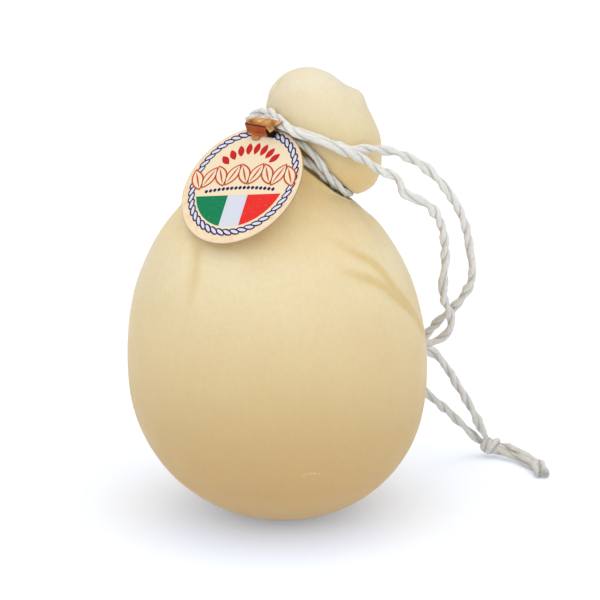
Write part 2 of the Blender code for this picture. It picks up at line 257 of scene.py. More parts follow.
def spline(points, steps):
    """A natural cubic spline through the points, with so many steps to a span."""
    p = np.array(points, float)
    h = np.linalg.norm(np.diff(p, axis=0), axis=1)
    count = len(p)
    left, right = np.eye(count), np.zeros_like(p)
    for i in range(1, count - 1):
        left[i, i - 1 : i + 2] = h[i - 1], 2.0 * (h[i - 1] + h[i]), h[i]
        right[i] = 6.0 * ((p[i + 1] - p[i]) / h[i] - (p[i] - p[i - 1]) / h[i - 1])
    bend = np.linalg.solve(left, right)
    made = []
    for i in range(count - 1):
        for k in range(steps):
            after = h[i] * k / steps
            before = h[i] - after
            curve = (bend[i] * before**3 + bend[i + 1] * after**3) / (6.0 * h[i])
            start = (p[i] / h[i] - bend[i] * h[i] / 6.0) * before
            end = (p[i + 1] / h[i] - bend[i + 1] * h[i] / 6.0) * after
            made.append(curve + start + end)
    return np.array([*made, p[-1]])


def distances(points):
    """How far along a line each of its points is."""
    steps = np.linalg.norm(np.diff(points, axis=0), axis=1)
    return np.concatenate([[0.0], np.cumsum(steps)])


def evenly(points, spacing):
    """The same line with points at an even spacing."""
    points = np.array(points)
    along = distances(points)
    places = np.linspace(0.0, along[-1], max(int(round(along[-1] / spacing)), 2) + 1)
    return np.stack([np.interp(places, along, points[:, k]) for k in range(3)], axis=1)


def lapped(points):
    """A closed line's points, with those next to its start and end again past them."""
    return [*points[-LAP:], *points, *points[:LAP]]


def fine_route(points, spacing, closed=False):
    """A smooth line through the points, with points at an even spacing."""
    if not closed:
        return evenly(spline(points, OPEN_STEPS), spacing)
    past = LAP * CLOSED_STEPS
    return evenly(spline(lapped(points), CLOSED_STEPS)[past:-past], spacing)[:-1]


def tube_faces(first, rings, sides, closed=False):
    """Faces from each ring of vertices to the next, and back to the first if it is closed."""
    faces = []
    for i in range(rings if closed else rings - 1):
        low, high = first + i * sides, first + (i + 1) % rings * sides
        for j in range(sides):
            k = (j + 1) % sides
            faces.append((low + j, low + k, high + k, high + j))
    return faces


def ring_frame(ring, tilt):
    """(middle, radius, right, back, up) of a ring given by its two ends, tilted back."""
    lx, lz, rx, rz = ring
    middle = np.array([(lx + rx) / 2, 0.0, (lz + rz) / 2])
    radius = math.hypot(rx - lx, rz - lz) / 2
    right = np.array([rx - lx, 0.0, rz - lz]) / max(2 * radius, 1e-6)
    plain_up = np.array([-right[2], 0.0, right[0]])
    back = np.array([0.0, math.cos(tilt), 0.0]) - plain_up * math.sin(tilt)
    return middle, radius, right, back, np.cross(right, back)


def bowl_rings():
    """Rings of the bowl, from the flat spot up to just under the widest height."""
    rings = []
    for height in BOWL_HEIGHTS:
        below = (WIDEST_HEIGHT - height) / (WIDEST_HEIGHT + BOWL_SINK)
        half = WIDEST_HALF * (1.0 - below**BOWL_POWER) ** (1.0 / BOWL_POWER)
        lean = BOWL_LEAN * smooth(height, BOWL_LEANS_FROM, WIDEST_HEIGHT)
        rings.append((lean - half, height, lean + half, height))
    return rings


def cheese_frames():
    """(centre, radius, right, back) of each ring of the cheese, and of its tip."""
    tip = (*HEAD_TIP, *HEAD_TIP)
    rings = [*bowl_rings(), *SHOULDER_RINGS, *NECK_RINGS, *HEAD_RINGS, tip]
    frames = []
    depth, before = 0.0, None
    for ring in spline(rings, RIND_STEPS):
        tilt = BACK_TILT * smooth((ring[1] + ring[3]) / 2, TILT_STARTS, TILT_ENDS)
        middle, radius, right, back, _ = ring_frame(ring, tilt)
        if before is not None:
            depth += math.sin(tilt) * np.linalg.norm(middle - before)
        before = middle
        frames.append((middle + [0.0, depth, 0.0], radius, right, back))
    return frames


def cheese_skin():
    """Vertices and faces of the cheese, without its relief, in millimetres."""
    frames = cheese_frames()
    verts = []
    for centre, radius, right, back in frames[:-1]:
        verts += [centre + radius * at_angle(a, right, back) for a in circle(RIND_SIDES)]
    faces = [tuple(reversed(range(RIND_SIDES))), *tube_faces(0, len(frames) - 1, RIND_SIDES)]
    last = len(verts) - RIND_SIDES
    faces += [(last + j, last + (j + 1) % RIND_SIDES, len(verts)) for j in range(RIND_SIDES)]
    return [*verts, frames[-1][0]], faces


def neck_place(angle, height, out):
    """A point round the neck's groove, from its middle, in the groove's own directions."""
    ring = [(a + b) / 2 for a, b in zip(*NECK_RINGS[1:3])]
    middle, _, right, back, up = ring_frame(ring, BACK_TILT)
    return middle + [0.0, NECK_DEPTH, 0.0] + at_angle(angle, right, back) * out + up * height


def outside_by(tree, point):
    """How far a point is from the cheese, negative inside it."""
    hit, normal, _, distance = tree.find_nearest(Vector(point))
    return distance if (Vector(point) - hit).dot(normal) > 0 else -distance


def pulled_tight(angles, reach):
    """How far out a taut loop lies that may not come further in than the given reach."""
    count = len(reach)
    step = angles[1] - angles[0]
    for _ in range(PULLS):
        for i in range(count):
            before, after = reach[i - 1], reach[(i + 1) % count]
            straight = before * after * math.sin(2 * step) / ((before + after) * math.sin(step))
            reach[i] = max(reach[i], straight)
    return reach


def not_clear(tree, under, point):
    """Whether a turn's point is too near the cheese or the turn under it."""
    if outside_by(tree, point) < TIED / 2 + GAP + LET_OUT:
        return True
    if under is None:
        return False
    return min(np.linalg.norm(np.array(under) - point, axis=1)) < TIED + GAP


def neck_turn(tree, table, under=None):
    """A closed turn of twine, as deep as its table and the turn under it let it lie."""
    rounds = [-360] * LAP + [0] * len(table) + [360] * LAP
    scale = TABLE_SCALE
    rows = [(a + more, h * scale, r * scale) for (a, h, r), more in zip(lapped(table), rounds)]
    rows = spline(rows, TABLE_STEPS)
    degrees = [360.0 * i / TURN_POINTS for i in range(TURN_POINTS)]
    angles = np.radians(degrees)
    heights = np.interp(degrees, rows[:, 0], rows[:, 1]) / scale
    least = np.interp(degrees, rows[:, 0], rows[:, 2]) / scale
    reach = []
    for angle, height, out in zip(angles, heights, least):
        while not_clear(tree, under, neck_place(angle, height, out)):
            out += LET_OUT
        reach.append(out)
    reach = pulled_tight(angles, reach)
    return [neck_place(*place) for place in zip(angles, heights, reach)]


def off_the_cheese(tree, points, radius):
    """Moves points that are too near the cheese out to where a strand rests on it."""
    moved = []
    for point in points:
        hit, normal, _, distance = tree.find_nearest(Vector(point))
        away = Vector(point) - hit
        if away.dot(normal) <= 0:
            point = hit + normal * (radius + GAP)
        elif distance < radius + GAP:
            point = hit + away.normalized() * (radius + GAP)
        moved.append(np.array(point))
    return moved


# ---- finishes


def srgb(red, green, blue):
    """A colour given as on a screen, from 0 to 255, as the shaders take it."""
    shares = [part / 255.0 for part in (red, green, blue)]
    linear = [s / 12.92 if s <= 0.04045 else ((s + 0.055) / 1.055) ** 2.4 for s in shares]
    return (*linear, 1.0)


def put(tree, socket, value):
    """Links an output to a socket, or sets the socket to a plain value."""
    if isinstance(value, bpy.types.NodeSocket):
        tree.links.new(value, socket)
    else:
        socket.default_value = value


def add_node(tree, kind, inputs=None, **settings):
    """A node of a kind, with its settings and with a value or a link for its inputs."""
    made = tree.nodes.new("ShaderNode" + kind)
    for key, value in settings.items():
        setattr(made, key, value)
    for socket, value in (inputs or {}).items():
        put(tree, made.inputs[socket], value)
    return made


def map_range(value, low, high, to_low, to_high):
    """Inputs of a node that spreads a value over a new range."""
    return {
        "Value": value, "From Min": low, "From Max": high, "To Min": to_low, "To Max": to_high,
    }


class Finish:
    """A material's node tree, with short ways to add what the finishes share."""

    def __init__(self, name, **sockets):
        self.material = bpy.data.materials.new(name)
        self.material.use_nodes = True
        self.tree = self.material.node_tree
        self.surface = self.tree.nodes["Principled BSDF"]
        for socket, value in sockets.items():
            self.set(socket.replace("_", " "), value)

    def set(self, socket, value):
        put(self.tree, self.surface.inputs[socket], value)

    def add(self, kind, inputs=None, **settings):
        return add_node(self.tree, kind, inputs, **settings)

    def position(self):
        return self.add("TexCoord").outputs["Object"]

    def attribute(self, name, output):
        return self.add("Attribute", attribute_name=name).outputs[output]

    def stretched(self, vector, scale):
        return self.add("Mapping", {"Vector": vector, "Scale": scale}).outputs[0]

    def noise(self, vector, scale, detail=3.0, rough=0.5):
        inputs = {"Vector": vector, "Scale": scale, "Detail": detail, "Roughness": rough}
        return self.add("TexNoise", inputs).outputs[0]

    def cells(self, vector, scale):
        return self.add("TexVoronoi", {"Vector": vector, "Scale": scale}).outputs[0]

    def axis(self, vector, name):
        return self.add("SeparateXYZ", {0: vector}).outputs[name]

    def spread(self, value, low, high, to_low=0.0, to_high=1.0, kind="SMOOTHSTEP"):
        """The value between low and high, spread over a new range and kept inside it."""
        inputs = map_range(value, low, high, to_low, to_high)
        return self.add("MapRange", inputs, interpolation_type=kind).outputs[0]

    def ramp(self, value, low, high, stops):
        """A colour that changes through the stops (place, colour) between low and high."""
        node = self.add("ValToRGB", {0: self.spread(value, low, high, kind="LINEAR")})
        node.color_ramp.interpolation = "LINEAR"
        elements = node.color_ramp.elements
        while len(elements) < len(stops):
            elements.new(0.5)
        for element, (place, colour) in zip(elements, stops):
            element.position = (place - low) / (high - low)
            element.color = colour
        return node.outputs[0]

    def times(self, first, second):
        return self.add("Math", {0: first, 1: second}, operation="MULTIPLY").outputs[0]

    def vector(self, operation, first, second=(0.0, 0.0, 0.0), output="Vector"):
        return self.add("VectorMath", {0: first, 1: second}, operation=operation).outputs[output]

    def near_line(self, place, start, end, reach):
        """1 on the straight line between two places, down to 0 a reach away, in millimetres."""
        start, end = Vector(start) * MM, Vector(end) * MM
        whole = end - start
        off = self.vector("SUBTRACT", place, start)
        along = self.vector("DOT_PRODUCT", off, whole / whole.length_squared, "Value")
        held = self.spread(along, 0.0, 1.0)
        scaled = self.add("VectorMath", {0: whole, "Scale": held}, operation="SCALE")
        gap = self.vector("SUBTRACT", off, scaled.outputs["Vector"])
        return self.spread(self.vector("LENGTH", gap, output="Value"), reach * MM, 0.0)

    def mix(self, share, first, second, blend="MIX"):
        inputs = {0: share, 6: first, 7: second}
        return self.add("Mix", inputs, data_type="RGBA", blend_type=blend).outputs[2]

    def bump(self, height, depth_mm, strength=1.0):
        """Adds relief of about so many millimetres over what was added before."""
        inputs = {"Distance": depth_mm * MM, "Strength": strength, "Height": height}
        node = self.add("Bump", inputs)
        normal = self.surface.inputs["Normal"]
        if normal.is_linked:
            self.tree.links.new(normal.links[0].from_socket, node.inputs["Normal"])
        self.tree.links.new(node.outputs["Normal"], normal)


# Tone of the rind at heights in metres, with painted shade: darker and tan low down and in the
# neck, where shade falls, paler above each, and lighter again at the very foot as painted light
# from the floor.
RIND_TONES_WITH_SHADE = (
    (0.000, srgb(226, 194, 142)), (0.012, srgb(206, 172, 117)), (0.026, srgb(196, 162, 107)),
    (0.052, srgb(201, 172, 120)), (0.088, srgb(218, 196, 149)), (0.130, srgb(231, 217, 179)),
    (0.152, srgb(232, 210, 161)), (0.164, srgb(226, 198, 141)), (0.185, srgb(225, 209, 168)),
    (0.208, srgb(223, 213, 187)),
)
# Pale scratches low on the front, as pairs of ends in millimetres.
SCRATCHES = (
    ((8.8, -63.4, 37.7), (11.0, -63.1, 39.2)), ((11.0, -63.1, 39.2), (14.6, -62.2, 38.9)),
    ((14.6, -62.2, 38.9), (18.0, -61.0, 37.6)), ((36.0, -50.5, 50.0), (44.0, -44.0, 52.0)),
)
SCRATCH_REACH = 0.8
RIND_TOP = 0.212
# Tint of the painted shadows and painted shade along lines.
SHADE_LINE_TINT = (0.90, 0.81, 0.61, 1.0)


def rind_finish():
    """Waxy cheese, with faint clouds, upright fibres, specks and a few scratches, painted shade
    low down and in the neck, and painted shadows and shade along a few lines.
    """
    made = Finish(
        "rind_wax", Roughness=0.5, IOR=1.42, Specular_IOR_Level=0.42,
        Subsurface_Weight=0.55, Subsurface_Radius=(1.0, 0.62, 0.28), Subsurface_Scale=4.5 * MM,
    )
    place = made.position()
    # Painted shade by height: darker and tan low down and in the neck, lighter at the foot as
    # painted bounce light.
    body = made.ramp(made.axis(place, "Z"), 0.0, RIND_TOP, RIND_TONES_WITH_SHADE)
    clouds = made.spread(made.noise(place, 24.0, 4.0, 0.6), 0.38, 0.66)
    body = made.mix(made.times(clouds, 0.14), body, srgb(208, 174, 118))
    fibres = made.noise(made.stretched(place, (900.0, 900.0, 40.0)), 1.0, 5.0, 0.65)
    body = made.mix(made.spread(fibres, 0.42, 0.75, 0.0, 0.035), body, srgb(250, 240, 214))
    peel = made.noise(place, 420.0, 3.0, 0.6)
    body = made.mix(made.spread(peel, 0.40, 0.64, 0.0, 0.09), body, srgb(206, 174, 118))
    specks = made.spread(made.cells(place, 330.0), 0.10, 0.03, 0.0, 0.4)
    rare = made.spread(made.noise(place, 90.0, 1.0), 0.56, 0.66)
    body = made.mix(made.times(specks, rare), body, srgb(186, 148, 96))
    for start, end in SCRATCHES:
        scratch = made.near_line(place, start, end, SCRATCH_REACH)
        broken = made.spread(made.noise(place, 600.0, 2.0), 0.3, 0.6, 0.1, 0.6)
        body = made.mix(made.times(scratch, broken), body, srgb(232, 208, 166))
        made.bump(scratch, -0.15)
    # Painted shadows of the strands, and painted shade along the seam and the crease, multiplied
    # in.
    body = made.mix(made.attribute("painted_shade", "Fac"), body, SHADE_LINE_TINT, "MULTIPLY")
    made.set("Base Color", body)
    made.set("Roughness", made.spread(made.noise(place, 60.0, 4.0), 0.3, 0.7, 0.42, 0.60))
    made.bump(peel, 0.25, 0.6)
    made.bump(made.noise(place, 900.0, 3.0), 0.10, 0.5)
    made.bump(fibres, 0.05, 0.5)
    return made.material


# How much darker the twine is painted at heights in metres, as painted shade: it is greyest where
# it lies on the floor, and a little bluer on the low loop.
TWINE_PAINTED_SHADE = (
    (0.000, (0.82, 0.82, 0.82, 1.0)), (0.045, (0.84, 0.84, 0.84, 1.0)),
    (0.070, (0.92, 0.92, 0.98, 1.0)), (0.105, (0.94, 0.94, 0.95, 1.0)),
    (0.145, (1.0, 1.0, 1.0, 1.0)),
)
TWINE_SHADE_TOP = 0.15


def twine_finish(name, light, shade):
    """Bleached twine: fibres that run along it, painted shade down in the lay between the plies,
    and painted shade low down.
    """
    made = Finish(
        name, Roughness=0.85, Specular_IOR_Level=0.25,
        Subsurface_Weight=0.15, Subsurface_Radius=(1.0, 0.9, 0.8), Subsurface_Scale=1.0 * MM,
    )
    along = made.attribute("fibre", "Vector")
    crest = made.attribute("crest", "Fac")
    threads = made.noise(along, 2.2, 5.0, 0.7)
    # Painted shade: darker down in the lay between the plies.
    body = made.mix(made.spread(crest, 0.0, 0.5), shade, light)
    # Darker fibres, in the same colour as the painted shade.
    body = made.mix(made.spread(threads, 0.36, 0.50, 0.6, 0.0), body, shade)
    flecks = made.noise(along, 5.0, 3.0, 0.75)
    body = made.mix(made.spread(flecks, 0.56, 0.70, 0.0, 0.6), body, srgb(156, 150, 140))
    # Painted shade: greyer low down and on the floor.
    low_shade = made.ramp(made.axis(made.position(), "Z"), 0.0, TWINE_SHADE_TOP, TWINE_PAINTED_SHADE)
    body = made.mix(1.0, body, low_shade, "MULTIPLY")
    made.set("Base Color", body)
    made.bump(threads, 0.8, 1.0)
    return made.material


def card_finish():
    """Coated card: cream, lightly mottled, with a worn rim and a brown cut edge that is partly
    painted shade.
    """
    made = Finish("card_paper", Roughness=0.5, Specular_IOR_Level=0.3)
    place = made.position()
    mottle = made.spread(made.noise(place, 260.0, 5.0, 0.65), 0.38, 0.66)
    body = made.mix(mottle, srgb(237, 216, 182), srgb(228, 195, 148))
    grain = made.noise(place, 2600.0, 3.0, 0.6)
    body = made.mix(made.spread(grain, 0.4, 0.7, 0.0, 0.3), body, srgb(238, 224, 198))
    rim = made.attribute("rim", "Fac")
    body = made.mix(made.spread(rim, 0.0, 1.0), body, srgb(228, 206, 174))
    # The cut edge is painted dark brown: partly the card's own cut colour, partly painted shade.
    body = made.mix(made.spread(rim, 1.1, 1.9), body, srgb(172, 142, 108))
    made.set("Base Color", body)
    made.set("Roughness", made.spread(mottle, 0.0, 1.0, 0.42, 0.6))
    made.bump(grain, 0.03, 0.6)
    return made.material


def ink_finish():
    """Print on the card: flat inks that let a little of the paper's mottle through."""
    made = Finish("card_ink", Roughness=0.4, Specular_IOR_Level=0.12)
    place = made.position()
    worn = made.spread(made.noise(place, 900.0, 4.0, 0.65), 0.54, 0.80, 0.0, 0.12)
    made.set("Base Color", made.mix(worn, made.attribute("ink", "Color"), srgb(226, 208, 176)))
    made.set("Roughness", made.spread(made.noise(place, 700.0, 3.0), 0.3, 0.7, 0.32, 0.5))
    made.bump(made.noise(place, 2600.0, 3.0), 0.02, 0.5)
    return made.material


def clip_finish():
    """Coppery brass: bright on top with a painted highlight, a painted red-brown dark reflection
    on its front wall, and painted shade nearly black inside.
    """
    made = Finish("clip_brass", Metallic=0.85, Roughness=0.3)
    place = made.position()
    patina = made.spread(made.noise(place, 260.0, 3.0, 0.55), 0.38, 0.66)
    body = made.mix(patina, srgb(204, 152, 92), srgb(150, 92, 50))
    painted_light = made.attribute("painted_light", "Fac")
    # Painted light: a red-brown dark reflection, near-black shade inside, and a pale highlight on
    # top.
    body = made.mix(made.spread(painted_light, 0.1, 0.5), body, srgb(174, 90, 46))
    body = made.mix(made.spread(painted_light, 0.6, 0.95), body, srgb(12, 8, 6))
    body = made.mix(made.spread(painted_light, -0.1, -0.3), body, srgb(240, 200, 172))
    made.set("Base Color", body)
    made.set("Roughness", made.spread(made.noise(place, 800.0, 4.0), 0.3, 0.7, 0.24, 0.46))
    made.bump(made.noise(place, 500.0, 3.0), 0.04, 0.5)
    return made.material


FLOOR_SIZE, FLOOR_SPANS = 14.0, 8
FLOOR_TONES = (0.80, 0.81, 0.82, 1.0), (0.82, 0.83, 0.84, 1.0)
FLOOR_GLOW, FLOOR_GLOW_TINT = 0.24, (0.68, 0.80, 1.0, 1.0)
# Painted shadow round the base: where the white surface is a little cooler and darker, in metres,
# and how far round in millimetres.
FLOOR_SHADOW_AT, FLOOR_SHADOW_TINT = (-0.005, -0.025, 0.0), (0.75, 0.80, 0.91, 1.0)
FLOOR_SHADOW_NEAR, FLOOR_SHADOW_FAR = 30.0, 75.0


def floor_finish():
    """Matte white surface that glows a little, like a light table, with a cooler painted shadow
    round the base.
    """
    made = Finish(
        "studio_floor", Roughness=0.9, Specular_IOR_Level=0.1,
        Emission_Color=FLOOR_GLOW_TINT, Emission_Strength=FLOOR_GLOW,
    )
    place = made.position()
    body = made.mix(made.noise(place, 40.0, 2.0), *FLOOR_TONES)
    # Painted shadow: a cooler, slightly darker patch round the base.
    off = made.vector("LENGTH", made.vector("SUBTRACT", place, FLOOR_SHADOW_AT), output="Value")
    painted_shadow = made.spread(off, FLOOR_SHADOW_FAR * MM, FLOOR_SHADOW_NEAR * MM)
    made.set("Base Color", made.mix(painted_shadow, body, FLOOR_SHADOW_TINT))
    return made.material


# ---- pieces


def add_piece(name, verts, faces, material, replaced=(), smooth_faces=True):
    """A mesh from vertices in millimetres, riding on the cheese's one body."""
    mesh = bpy.data.meshes.new(name)
    mesh.from_pydata([Vector(v) * MM for v in verts], [], faces)
    mesh.polygons.foreach_set("use_smooth", [smooth_faces] * len(mesh.polygons))
    mesh.materials.append(material)
    mesh.update()
    made = bpy.data.objects.new(name, mesh)
    bpy.context.scene.collection.objects.link(made)
    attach(made, "root")
    if replaced:
        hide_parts(*replaced)
    return made


def set_attribute(piece, name, values):
    """A named number or vector for each point of the piece, which its finish reads."""
    values = np.array(values, np.float32)
    kind, key = ("FLOAT", "value") if values.ndim == 1 else ("FLOAT_VECTOR", "vector")
    layer = piece.data.attributes.new(name, kind, "POINT")
    layer.data.foreach_set(key, values.ravel())


# Relief of the rind, in millimetres: a slow swell and a fine ripple, how high and how long,
# and the heights over which each comes and goes.
SWELL, SWELL_SIZE = 0.45, 42.0
SWELL_BEGINS, SWELL_ENDS = (2.0, 25.0), (120.0, 150.0)
RIPPLE, RIPPLE_SIZE, RIPPLE_BEGINS = 0.07, 9.0, (1.0, 6.0)
# Pleats that the twine gathers, as layers of how fine, which of the noise and how strong, and
# the heights and the distances from the neck over which they rise below it and above it.
PLEAT, PLEAT_LAYERS = 0.8, ((3.4, 1.7, 1.0), (7.0, 4.1, 0.5))
PLEAT_HEIGHTS, PLEAT_REACH = (116.0, 148.0), (24.0, 30.0)
HEAD_PLEAT, HEAD_PLEAT_RISE, HEAD_PLEAT_REACH = 0.4, (4.0, 9.0), (22.0, 32.0)
SEAM = (
    (-5.6, -9, 195), (-4.2, -5.3, 201.1), (-2.4, -3.3, 204.5), (-0.2, -1.1, 207.3),
    (3.5, 1, 209.8), (8, 4, 211),
)
# Folds and dents: how high, how wide, and the line that each follows.
FOLDS = (
    (-1.20, 2.6, ((-42.8, -52.4, 108.3), (-39.7, -48.9, 122), (-38.2, -42.6, 133.3),
                  (-36.9, -39.6, 139))),
    (0.65, 3, ((-46, -44, 121), (-44, -39, 133), (-41.5, -33.5, 141))),
    (-0.60, 1.2, SEAM),
    (0.50, 1.8, ((-8, -3.5, 197), (-6, -1, 201.5), (-3.6, 1.2, 205.5))),
    (-0.35, 3.2, ((30, -8, 203), (31, 4, 202.6))),
    (1.70, 4.4, ((33.4, -11, 198.4), (35, -1, 199), (33.6, 10, 198))),
)
# Painted shade, tan: how strong, how wide, and the line that each follows. Two are painted shadows
# of the strands on the right shoulder, one is painted shade along the seam up the head, and one is
# painted shade down in the crease on the left.
SHADE_LINES = (
    (1.45, 2.4, ((16, -42.4, 143.7), (23.5, -41.7, 139.4), (30.2, -40, 135.4),
                 (35.7, -37.6, 132.1), (40.7, -34.7, 128.7), (46.2, -32.6, 122.7),
                 (50.9, -31, 115.8), (55.2, -27.4, 109.8), (59.2, -22.8, 103.5),
                 (63.9, -14.5, 94.2), (66.5, -6, 86))),
    (1.20, 2.5, ((23, -47, 133.4), (25.7, -48.6, 128.8), (31, -46.4, 126.4),
                 (36.9, -43.1, 123.8), (40.6, -40.7, 121.9), (46.1, -36.9, 117.7),
                 (49.9, -34.2, 113.8), (54.2, -29.8, 109.5), (59.2, -22.8, 103.5))),
    (0.34, 1, SEAM),
    (0.64, 3.2, ((-42, -52.4, 108.3), (-39, -48.9, 122), (-37.7, -42.6, 133.3),
                 (-36.4, -39.6, 139))),
)
# Share of a line over which it comes in at its start and goes out at its end.
LINE_IN, LINE_OUT = (-0.05, 0.45), (-0.15, 0.15)


def near_line(points, line, width):
    """For each point, 1 on a line through places, less to its sides and towards its start."""
    line = np.array(line, float)
    nearest = np.full(len(points), np.inf)
    share = np.zeros(len(points))
    for i, (start, end) in enumerate(zip(line, line[1:])):
        whole = end - start
        t = np.clip((points - start) @ whole / (whole @ whole), 0.0, 1.0)
        off = np.linalg.norm(points - start - t[:, None] * whole, axis=1)
        closer = off < nearest
        nearest[closer] = off[closer]
        share[closer] = (i + t[closer]) / (len(line) - 1)
    ends = smooth(share, *LINE_IN) * smooth(1.0 - share, *LINE_OUT)
    return np.exp(-((nearest / width) ** 2)) * ends


def pleat_relief(points):
    """Height of the pleats that run down the shoulder and up the head from the neck."""
    middle = neck_place(0.0, 0.0, 0.0)
    off = points - middle
    waves = np.array([
        sum(part * ring_drift(a, fine, layer) for fine, layer, part in PLEAT_LAYERS)
        for a in np.arctan2(off[:, 1], off[:, 0])
    ])
    along = off @ (neck_place(0.0, 1.0, 0.0) - middle)
    out = np.linalg.norm(off, axis=1)
    below = smooth(points[:, 2], *PLEAT_HEIGHTS) * smooth(out, *PLEAT_REACH)
    above = HEAD_PLEAT * (1.0 - smooth(out, *HEAD_PLEAT_REACH)) * smooth(along, *HEAD_PLEAT_RISE)
    return PLEAT * waves * np.where(along < 0.0, below, above)


def rind_relief(points):
    """How far the rind stands proud of its outline at each point, in millimetres."""
    height = points[:, 2]
    swell = SWELL * np.array([noise.noise(Vector(p) / SWELL_SIZE) for p in points])
    ripple = RIPPLE * np.array([noise.noise(Vector(p) / RIPPLE_SIZE) for p in points])
    relief = smooth(height, *SWELL_BEGINS) * (1.0 - smooth(height, *SWELL_ENDS)) * swell
    relief += smooth(height, *RIPPLE_BEGINS) * ripple + pleat_relief(points)
    for high, width, line in FOLDS:
        relief += high * near_line(points, line, width)
    return relief


def add_cheese():
    verts, faces = cheese_skin()
    made = add_piece("cheese_rind", verts, faces, rind_finish(), ["cheese"])
    normals = np.zeros(len(verts) * 3, np.float32)
    made.data.vertex_normals.foreach_get("vector", normals)
    points = np.array(verts)
    moved = points + normals.reshape(-1, 3) * rind_relief(points)[:, None]
    made.data.vertices.foreach_set("co", (moved * MM).ravel())
    made.data.update()
    # Painted shade along lines: shadows of the strands, and shade in the seam and the crease.
    shade_lines = sum(strong * near_line(points, line, width) for strong, width, line in SHADE_LINES)
    set_attribute(made, "painted_shade", shade_lines)


def turned_frames(route, closed=False):
    """(ways, normals) along a route, each normal turned as little as can be from the last."""
    route = np.array(route)
    if closed:
        ways = np.roll(route, -1, axis=0) - np.roll(route, 1, axis=0)
    else:
        ways = np.gradient(route, axis=0)
    ways /= np.linalg.norm(ways, axis=1)[:, None]
    normal = unit(np.cross(ways[0], ASIDE))
    normals = []
    for way in ways:
        normal = unit(normal - way * normal.dot(way))
        normals.append(normal)
    return ways, np.array(normals)


def lobed(angle, radius, offset):
    """Reach of two overlapping round plies from the middle between them."""
    return offset * abs(math.cos(angle)) + math.sqrt(radius**2 - (offset * math.sin(angle)) ** 2)


class Yarn:
    """Vertices, faces, fibre places and crests that make up one piece of twine."""

    def __init__(self):
        self.verts, self.faces, self.fibres, self.crests = [], [], [], []

    def grid(self, rings, sides, closed=False):
        """Faces between rings of vertices that are still to be added, and their two caps."""
        first = len(self.verts)
        self.faces += tube_faces(first, rings, sides, closed)
        if not closed:
            last = first + (rings - 1) * sides
            self.faces.append(tuple(reversed(range(first, first + sides))))
            self.faces.append(tuple(range(last, last + sides)))

    def point(self, place, fibre, crest):
        self.verts.append(place)
        self.fibres.append(fibre)
        self.crests.append(crest)


def wave(table, place, seed):
    """How much of an unevenness there is at a place along a line."""
    size, length, layer = table
    return size * drift(place / length, seed, layer)


def lay_twine(yarn, route, width, seed, pitch=PLY_PITCH, closed=False, widths=None):
    """A two-ply twine along a route: two lobes that turn about each other, uneven as laid."""
    route = np.array(route)
    ways, normals = turned_frames(route, closed)
    along = distances(route)
    total = along[-1] + (np.linalg.norm(route[0] - route[-1]) if closed else 0.0)
    turns = round(total / pitch) if closed else total / pitch
    leftover = 0.0
    if closed:
        last = unit(normals[-1] - ways[0] * normals[-1].dot(ways[0]))
        leftover = math.atan2(np.cross(normals[0], last).dot(ways[0]), normals[0].dot(last))
    yarn.grid(len(route), TWINE_SIDES, closed)
    for i, (point, way, normal) in enumerate(zip(route, ways, normals)):
        place, share = along[i], along[i] / total
        ends = smooth(min(place, total - place), 0.0, EVEN_ENDS) if closed else 1.0
        across = np.cross(way, normal)
        twist = 2.0 * math.pi * turns * share + wave(TURN_WAVE, place, seed) * ends
        size = width * (1.0 + wave(WIDTH_WAVE, place, seed) * ends)
        if widths is not None:
            size *= widths[i]
        apart = PLY_OFFSET * (1.0 + wave(APART_WAVE, place, seed) * ends)
        middle = point + wave(KINK_WAVE, place, seed) * ends * at_angle(twist, across, -normal)
        for around in circle(TWINE_SIDES):
            reach = lobed(around - twist, PLY_RADIUS * size, apart * size)
            crest = (reach / size - PLY_RADIUS + CREST_MARGIN) / (PLY_OFFSET + CREST_MARGIN)
            turned = around - leftover * share
            skin = SKIN_ROUND * Vector((math.cos(turned), math.sin(turned), 0.0))
            skin.z = place / SKIN_ALONG * ends + seed
            reach += SKIN_ROUGH * size * noise.noise(skin * SKIN_FINE)
            spot = middle + reach * at_angle(turned, normal, across)
            spot[2] = max(spot[2], ABOVE_FLOOR)
            yarn.point(spot, skin, crest)


def lay_fibre(yarn, start, way, reach, bend, radius):
    """One stray fibre: a thin bent tube that tapers."""
    side = unit(np.cross(way, FIBRE_ASIDE))
    up = np.cross(side, way)
    yarn.grid(FIBRE_SPANS + 1, FIBRE_SIDES)
    for i in range(FIBRE_SPANS + 1):
        t = i / FIBRE_SPANS
        middle = start + way * reach * t + bend * t * t
        thick = radius * (1.0 - FIBRE_TAPER * t)
        middle[2] = max(middle[2], ABOVE_FLOOR + thick)
        for j, a in enumerate(circle(FIBRE_SIDES)):
            yarn.point(middle + thick * at_angle(a, side, up), (t, j, 0.0), 1.0)


def stray_fibres(yarn, route, seed):
    """Short fibres that stand off the twine here and there."""
    draw = random.Random(int(seed * 10))
    ways, normals = turned_frames(route)
    for _ in range(int(len(route) * TWINE_STEP / FIBRE_EVERY)):
        i = draw.randrange(CLEAR_OF_ENDS, len(route) - CLEAR_OF_ENDS)
        a = draw.uniform(0.0, 2.0 * math.pi)
        out = at_angle(a, normals[i], np.cross(ways[i], normals[i]))
        start = route[i] + out * TWINE * FIBRE_ROOT
        lean = unit(ways[i] * draw.choice((-1.0, 1.0)) + out * draw.uniform(*FIBRE_LEAN))
        reach = draw.uniform(*FIBRE_LENGTH)
        bend = out * draw.uniform(*FIBRE_BEND) + ways[i] * draw.uniform(*FIBRE_SWAY)
        lay_fibre(yarn, start, lean, reach, bend, FIBRE_RADIUS)


